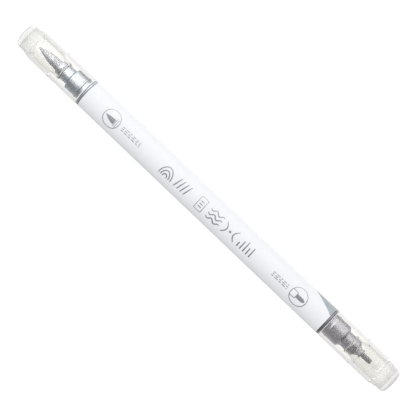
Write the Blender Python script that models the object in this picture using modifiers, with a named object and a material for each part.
"""Double-ended lettering marker: a brush tip and a fine tip, each under a clear cap.

The pen lies along X with its middle at the origin: the brush tip points to -X
and the fine tip to +X. Lengths are in metres. Almost every piece is turned, so
it is drawn as a list of (station, radius) points. A station is the distance
from the middle of the pen, measured outwards along the end that holds the
piece, so the same numbers serve either end.
"""

import math

import bmesh
import bpy

MM = 0.001

# Driving dimensions
HALF_LENGTH = 77.5 * MM
BARREL_HALF = 50.15 * MM
BARREL_RADIUS = 4.66 * MM
FILM_THICKNESS = 0.07 * MM
CAP_RADIUS = 4.8 * MM
CAP_MOUTH = 51.0 * MM
NECK_RADIUS = 2.6 * MM

# Clearances between pieces that touch in the hand: round a piece, and end to end
RADIAL_GAP = 0.04 * MM
END_GAP = 0.05 * MM

# Barrel tube, with a slightly raised band at its fine end
BARREL_BORE = 3.7 * MM
BAND_START = 48.15 * MM
BAND_HEIGHT = 0.03 * MM

# Printed film, trimmed obliquely at the fine end so that bare tube shows
FILM_BRUSH_EDGE = -50.1 * MM
FILM_FINE_EDGE = 50.1 * MM
TRIM_MIDDLE = 46.75 * MM
TRIM_RISE = 9.6 * MM
TRIM_TURN = math.radians(135)

# Collars and the plugs that noses push into the tube
COLLAR_WIDTH = 0.7 * MM
COLLAR_RADIUS = 4.74 * MM
PLUG_RADIUS = 3.62 * MM
PLUG_END = 41.7 * MM
PLUG_BORE = 2.7 * MM
SHOULDER_RADIUS = 3.88 * MM
BEAD_STATION = 52.8 * MM
BEAD_RADIUS = 3.82 * MM

# Noses, their holders and nibs
BRUSH_GRIP_RADIUS = 3.6 * MM
BRUSH_GRIP_END = 56.9 * MM
BRUSH_NECK_END = 60.3 * MM
FERRULE_RADIUS = 2.35 * MM
FERRULE_END = 62.35 * MM
BRUSH_TIP = 71.15 * MM
BRUSH_ROOT_RADIUS = 1.75 * MM
BRUSH_SHANK_RADIUS = 1.2 * MM
BRUSH_POINT_CROWDING = 1.6
BRUSH_FULLNESS = 0.72
FINE_GRIP_RADIUS = 3.68 * MM
FINE_GRIP_END = 57.0 * MM
FINE_NECK_END = 62.6 * MM
HOLDER_RADIUS = 2.25 * MM
HOLDER_END = 64.7 * MM
FINE_TIP = 68.5 * MM
FINE_NIB_RADIUS = 0.8 * MM
SHANK_END = 36.0 * MM

# Ink reservoir
RESERVOIR_HALF = 41.4 * MM
FIBRE_RADIUS = 3.1 * MM
WRAP_RADIUS = 3.26 * MM

# Caps: an outer shell, and a liner whose closed head carries on the shell's outline
SHELL_END = 72.0 * MM
SHELL_END_RADIUS = 4.64 * MM
SHELL_MOUTH_BORE = 4.0 * MM
SHELL_MID_BORE = 3.9 * MM
LINER_BODY_RADIUS = 3.72 * MM
LINER_BORE = 3.2 * MM
LINER_LIP = 60.1 * MM
LINER_FLARE = 64.3 * MM
LINER_FLOOR = 75.4 * MM
HEAD_FOOT_RADIUS = 4.62 * MM
HEAD_WAIST = 74.3 * MM
HEAD_WAIST_RADIUS = 4.12 * MM
HEAD_END_RADIUS = 4.0 * MM
HEAD_ROUND = 1.2 * MM

# Every turned piece has the same number of sides, with a flat at the bottom
SIDES = 24
HALF_SIDE = math.pi / SIDES
WELD = 0.000001
BRUSH_END = -1
FINE_END = 1


def clear_scene():
    """Remove what the file holds, so that a second run starts clean."""
    for obj in list(bpy.data.objects):
        bpy.data.objects.remove(obj, do_unlink=True)


def new_collection(name):
    """Make a collection in the scene, replacing one left by an earlier run."""
    old = bpy.data.collections.get(name)
    if old:
        bpy.data.collections.remove(old)
    group = bpy.data.collections.new(name)
    bpy.context.scene.collection.children.link(group)
    return group


def new_material(name, colour, roughness, metallic=0.0, transmission=0.0):
    """Make a plain Principled material."""
    material = bpy.data.materials.new(name)
    material.use_nodes = True
    shader = material.node_tree.nodes["Principled BSDF"]
    shader.inputs["Base Color"].default_value = (*colour, 1.0)
    shader.inputs["Roughness"].default_value = roughness
    shader.inputs["Metallic"].default_value = metallic
    shader.inputs["Transmission Weight"].default_value = transmission
    return material


def quarter_round(station, radius, size, steps=3):
    """Points of a rounded outer corner, from its end face to its side."""
    centre = station - size
    turns = [math.pi / 2 * k / steps for k in range(steps + 1)]
    return [(centre + size * math.cos(a), radius - size + size * math.sin(a)) for a in turns]


def apply_modifiers(obj):
    """Keep the object's modifiers as plain mesh, smooth except at sharp edges."""
    depsgraph = bpy.context.evaluated_depsgraph_get()
    mesh = bpy.data.meshes.new_from_object(obj.evaluated_get(depsgraph))
    obj.modifiers.clear()
    obj.data = mesh
    mesh.shade_smooth()
    mesh.set_sharp_from_angle(angle=math.radians(32))


def turned(name, profile, end, material, group, closed=True):
    """Turn a profile about the pen's axis.

    The profile is a list of (station, radius) that runs inwards down the outer
    side. A closed profile returns along the bore; an open one starts and stops
    on the axis, which makes a solid rod.
    """
    mesh = bpy.data.meshes.new(name)
    outline = bmesh.new()
    points = [outline.verts.new((radius, 0.0, station)) for station, radius in profile]
    for first, second in zip(points, points[1:]):
        outline.edges.new((first, second))
    if closed:
        outline.edges.new((points[-1], points[0]))
    outline.to_mesh(mesh)
    outline.free()

    obj = bpy.data.objects.new(name, mesh)
    obj.data.materials.append(material)
    group.objects.link(obj)
    obj.rotation_mode = "ZYX"
    obj.rotation_euler = (HALF_SIDE, end * math.pi / 2, 0.0)

    screw = obj.modifiers.new("Turn", "SCREW")
    screw.steps = SIDES
    screw.render_steps = SIDES
    screw.use_merge_vertices = True
    screw.merge_threshold = WELD
    apply_modifiers(obj)
    return obj


def pick_materials():
    """The pen's materials by name."""
    return {
        "silver_plastic": new_material("silver_plastic", (0.50, 0.51, 0.54), 0.32, 0.6),
        "silver_plating": new_material("silver_plating", (0.66, 0.67, 0.71), 0.14, 1.0),
        "white_film": new_material("white_film", (0.88, 0.89, 0.92), 0.3),
        "holder_plastic": new_material("holder_plastic", (0.52, 0.53, 0.56), 0.30),
        "brush_fibre": new_material("brush_fibre", (0.20, 0.23, 0.30), 0.6),
        "hard_fibre": new_material("hard_fibre", (0.10, 0.10, 0.12), 0.55),
        "ink_fibre": new_material("ink_fibre", (0.09, 0.09, 0.10), 0.95),
        "wrap_plastic": new_material("wrap_plastic", (0.80, 0.80, 0.78), 0.3),
        "clear_plastic": new_material("clear_plastic", (0.97, 0.97, 0.96), 0.05, 0.0, 1.0),
    }


def make_barrel(materials, group):
    """The tube, drawn from its fine end to its brush end."""
    band_radius = BARREL_RADIUS + BAND_HEIGHT
    profile = [
        (BARREL_HALF, BARREL_BORE),
        (BARREL_HALF, band_radius),
        (BAND_START, band_radius),
        (BAND_START - BAND_HEIGHT, BARREL_RADIUS),
        (-BARREL_HALF, BARREL_RADIUS),
        (-BARREL_HALF, BARREL_BORE),
    ]
    turned("barrel_tube", profile, FINE_END, materials["silver_plastic"], group)


def film_profile(inner, outer):
    """Section of a skin that follows the tube and its raised band."""
    step = BAND_START - BAND_HEIGHT
    return [
        (FILM_FINE_EDGE, inner + BAND_HEIGHT),
        (FILM_FINE_EDGE, outer + BAND_HEIGHT),
        (BAND_START, outer + BAND_HEIGHT),
        (step, outer),
        (FILM_BRUSH_EDGE, outer),
        (FILM_BRUSH_EDGE, inner),
        (step, inner),
        (BAND_START, inner + BAND_HEIGHT),
    ]


def make_trim_cutter(cutters):
    """A block whose brush-end face is the oblique plane that trims the film."""
    size = 40.0 * MM
    lean = math.atan2(TRIM_RISE, BARREL_RADIUS)
    bpy.ops.mesh.primitive_cube_add(size=size)
    cutter = bpy.context.object
    cutter.name = "film_trim_cutter"
    for group in list(cutter.users_collection):
        group.objects.unlink(cutter)
    cutters.objects.link(cutter)
    cutter.rotation_mode = "ZYX"
    cutter.rotation_euler = (-TRIM_TURN, -lean, 0.0)
    reach = size / 2
    across = reach * math.sin(lean)
    cutter.location = (
        TRIM_MIDDLE + reach * math.cos(lean),
        across * math.sin(TRIM_TURN),
        across * math.cos(TRIM_TURN),
    )
    cutter.hide_render = True
    cutter.display_type = "WIRE"
    return cutter


def make_film(materials, group, cutters):
    """The white printed skin, with the flash of bare tube cut from it."""
    inner = BARREL_RADIUS + RADIAL_GAP
    outer = inner + FILM_THICKNESS
    film = turned("printed_film", film_profile(inner, outer), FINE_END, materials["white_film"], group)
    cut = film.modifiers.new("Oblique trim", "BOOLEAN")
    cut.operation = "DIFFERENCE"
    cut.solver = "EXACT"
    cut.object = make_trim_cutter(cutters)
    bpy.context.view_layer.update()
    apply_modifiers(film)


def make_collar(name, end, materials, group):
    """The bright ring between the tube and the cap."""
    inner_face = BARREL_HALF + END_GAP
    outer_face = inner_face + COLLAR_WIDTH
    bore = PLUG_RADIUS + RADIAL_GAP
    edge = 0.12 * MM
    profile = [
        (outer_face, bore),
        (outer_face, COLLAR_RADIUS - edge),
        (outer_face - edge, COLLAR_RADIUS),
        (inner_face + edge, COLLAR_RADIUS),
        (inner_face, COLLAR_RADIUS - edge),
        (inner_face, bore),
    ]
    turned(name, profile, end, materials["silver_plating"], group)


def nose_profile(grip_radius, grip_end, neck_start, neck_end, holder_shank):
    """Section of a front section: neck, grip, snap bead, shoulder and plug."""
    bore = holder_shank + RADIAL_GAP
    edge = 0.15 * MM
    bead_top = 0.2 * MM
    bead_foot = 0.4 * MM
    shoulder_outer = CAP_MOUTH + 0.4 * MM
    shoulder_inner = BARREL_HALF + COLLAR_WIDTH + 2 * END_GAP
    return [
        (neck_end, bore),
        (neck_end, NECK_RADIUS - edge),
        (neck_end - edge, NECK_RADIUS),
        (neck_start, NECK_RADIUS),
        (grip_end, grip_radius),
        (BEAD_STATION + bead_foot, grip_radius),
        (BEAD_STATION + bead_top, BEAD_RADIUS),
        (BEAD_STATION - bead_top, BEAD_RADIUS),
        (BEAD_STATION - bead_foot, grip_radius),
        (shoulder_outer, grip_radius),
        (shoulder_outer - edge, SHOULDER_RADIUS),
        (shoulder_inner, SHOULDER_RADIUS),
        (shoulder_inner, PLUG_RADIUS),
        (PLUG_END, PLUG_RADIUS),
        (PLUG_END, PLUG_BORE),
        (grip_end - 1.2 * MM, PLUG_BORE),
        (grip_end - 0.4 * MM, bore),
    ]


def rod_bore(radius):
    """Radius of a hole that a rod of the given radius fits."""
    return radius + RADIAL_GAP


def make_brush_end(materials, group):
    """Nose, ferrule and brush nib."""
    holder_shank = 2.05 * MM
    neck_start = BRUSH_GRIP_END + 0.5 * MM
    shank_seat = BRUSH_GRIP_END + 0.6 * MM
    nose = nose_profile(BRUSH_GRIP_RADIUS, BRUSH_GRIP_END, neck_start, BRUSH_NECK_END, holder_shank)
    turned("brush_nose", nose, BRUSH_END, materials["silver_plating"], group)

    face = BRUSH_NECK_END + END_GAP
    edge = 0.15 * MM
    cup = BRUSH_ROOT_RADIUS + RADIAL_GAP
    cup_floor = FERRULE_END - 1.2 * MM
    bore = rod_bore(BRUSH_SHANK_RADIUS)
    ferrule = [
        (FERRULE_END, cup),
        (FERRULE_END, FERRULE_RADIUS - edge),
        (FERRULE_END - edge, FERRULE_RADIUS),
        (face, FERRULE_RADIUS),
        (face, holder_shank),
        (shank_seat, holder_shank),
        (shank_seat, bore),
        (cup_floor, bore),
        (cup_floor, cup),
    ]
    turned("brush_ferrule", ferrule, BRUSH_END, materials["holder_plastic"], group)

    root = cup_floor + END_GAP
    nib = brush_profile() + [(root, BRUSH_ROOT_RADIUS), (root, BRUSH_SHANK_RADIUS)]
    nib += [(SHANK_END, BRUSH_SHANK_RADIUS), (SHANK_END, 0.0)]
    turned("brush_nib", nib, BRUSH_END, materials["brush_fibre"], group, closed=False)


def brush_profile(steps=9):
    """The brush tip's taper from its point to its root, with points crowded at its point."""
    length = BRUSH_TIP - FERRULE_END
    points = []
    for k in range(steps + 1):
        share = (k / steps) ** BRUSH_POINT_CROWDING
        radius = BRUSH_ROOT_RADIUS * math.sin(math.pi / 2 * share) ** BRUSH_FULLNESS
        points.append((BRUSH_TIP - share * length, radius))
    return points


def make_fine_end(materials, group):
    """Nose, conical holder and hard round-ended nib."""
    holder_shank = 1.95 * MM
    neck_start = FINE_GRIP_END + 0.9 * MM
    shank_seat = neck_start + 0.3 * MM
    nose = nose_profile(FINE_GRIP_RADIUS, FINE_GRIP_END, neck_start, FINE_NECK_END, holder_shank)
    turned("fine_nose", nose, FINE_END, materials["silver_plating"], group)

    face = FINE_NECK_END + END_GAP
    bore = rod_bore(FINE_NIB_RADIUS)
    holder = [
        (HOLDER_END, bore),
        (HOLDER_END, bore + 0.25 * MM),
        (face + 0.3 * MM, HOLDER_RADIUS - 0.25 * MM),
        (face, HOLDER_RADIUS),
        (face, holder_shank),
        (shank_seat, holder_shank),
        (shank_seat, bore),
    ]
    turned("fine_nib_holder", holder, FINE_END, materials["holder_plastic"], group)

    tip = quarter_round(FINE_TIP, FINE_NIB_RADIUS, 0.55 * MM, steps=4)
    nib = [(FINE_TIP, 0.0)] + tip + [(SHANK_END, FINE_NIB_RADIUS), (SHANK_END, 0.0)]
    turned("fine_nib", nib, FINE_END, materials["hard_fibre"], group, closed=False)


def make_reservoir(materials, group):
    """Ink-soaked fibre with a socket for each shank, and the film wrapped round it."""
    socket = SHANK_END - 0.3 * MM
    brush_bore = rod_bore(BRUSH_SHANK_RADIUS)
    fine_bore = rod_bore(FINE_NIB_RADIUS)
    fibre = [
        (socket, 0.0),
        (socket, fine_bore),
        (RESERVOIR_HALF, fine_bore),
        (RESERVOIR_HALF, FIBRE_RADIUS),
        (-RESERVOIR_HALF, FIBRE_RADIUS),
        (-RESERVOIR_HALF, brush_bore),
        (-socket, brush_bore),
        (-socket, 0.0),
    ]
    turned("reservoir_fibre", fibre, FINE_END, materials["ink_fibre"], group, closed=False)

    inner = FIBRE_RADIUS + RADIAL_GAP
    wrap_half = RESERVOIR_HALF - 0.4 * MM
    wrap = [(wrap_half, inner), (wrap_half, WRAP_RADIUS), (-wrap_half, WRAP_RADIUS), (-wrap_half, inner)]
    turned("reservoir_wrap", wrap, FINE_END, materials["wrap_plastic"], group)


def shell_profile():
    """Section of a cap's outer shell, open at both ends."""
    edge = 0.15 * MM
    neck_bore = LINER_BODY_RADIUS + RADIAL_GAP
    bore_step = LINER_FLARE - 0.9 * MM
    return [
        (SHELL_END, neck_bore),
        (SHELL_END, SHELL_END_RADIUS),
        (SHELL_END - 0.7 * MM, CAP_RADIUS),
        (CAP_MOUTH + edge, CAP_RADIUS),
        (CAP_MOUTH, CAP_RADIUS - edge),
        (CAP_MOUTH, SHELL_MOUTH_BORE),
        (CAP_MOUTH + 3.2 * MM, SHELL_MOUTH_BORE),
        (CAP_MOUTH + 3.8 * MM, SHELL_MID_BORE),
        (bore_step, SHELL_MID_BORE),
        (bore_step + 0.6 * MM, neck_bore),
    ]


def liner_profile():
    """Section of a cap's liner: closed tapered head, body, flare and sealing lip."""
    seal = NECK_RADIUS + 2 * RADIAL_GAP
    lip_radius = 3.15 * MM
    head_foot = SHELL_END + END_GAP
    flare_foot = LINER_FLARE - 0.7 * MM
    seal_end = flare_foot + 0.2 * MM
    outer = [(HALF_LENGTH, 0.0)] + quarter_round(HALF_LENGTH, HEAD_END_RADIUS, HEAD_ROUND)
    outer += [
        (HEAD_WAIST, HEAD_WAIST_RADIUS),
        (head_foot, HEAD_FOOT_RADIUS),
        (head_foot, LINER_BODY_RADIUS),
        (LINER_FLARE, LINER_BODY_RADIUS),
        (flare_foot, lip_radius),
        (LINER_LIP, lip_radius),
    ]
    inner = [
        (LINER_LIP, seal),
        (seal_end, seal),
        (LINER_FLARE + 0.5 * MM, LINER_BORE),
        (LINER_FLOOR, LINER_BORE),
        (LINER_FLOOR, 0.0),
    ]
    return outer + inner


def make_cap(side, end, materials, group):
    """A clear shell and its liner, on an empty that slides along the pen's axis."""
    slide = bpy.data.objects.new(f"{side}_cap_slide", None)
    slide.empty_display_size = 5.0 * MM
    slide.location = (end * CAP_MOUTH, 0.0, 0.0)
    group.objects.link(slide)
    clear = materials["clear_plastic"]
    pieces = [
        turned(f"{side}_cap_shell", shell_profile(), end, clear, group),
        turned(f"{side}_cap_liner", liner_profile(), end, clear, group, closed=False),
    ]
    for piece in pieces:
        piece.parent = slide
        piece.location = (-end * CAP_MOUTH, 0.0, 0.0)


def main():
    clear_scene()
    pen = new_collection("lettering_marker")
    cutters = new_collection("cutters")
    materials = pick_materials()
    make_barrel(materials, pen)
    make_film(materials, pen, cutters)
    make_collar("brush_collar", BRUSH_END, materials, pen)
    make_collar("fine_collar", FINE_END, materials, pen)
    make_brush_end(materials, pen)
    make_fine_end(materials, pen)
    make_reservoir(materials, pen)
    make_cap("brush", BRUSH_END, materials, pen)
    make_cap("fine", FINE_END, materials, pen)


main()
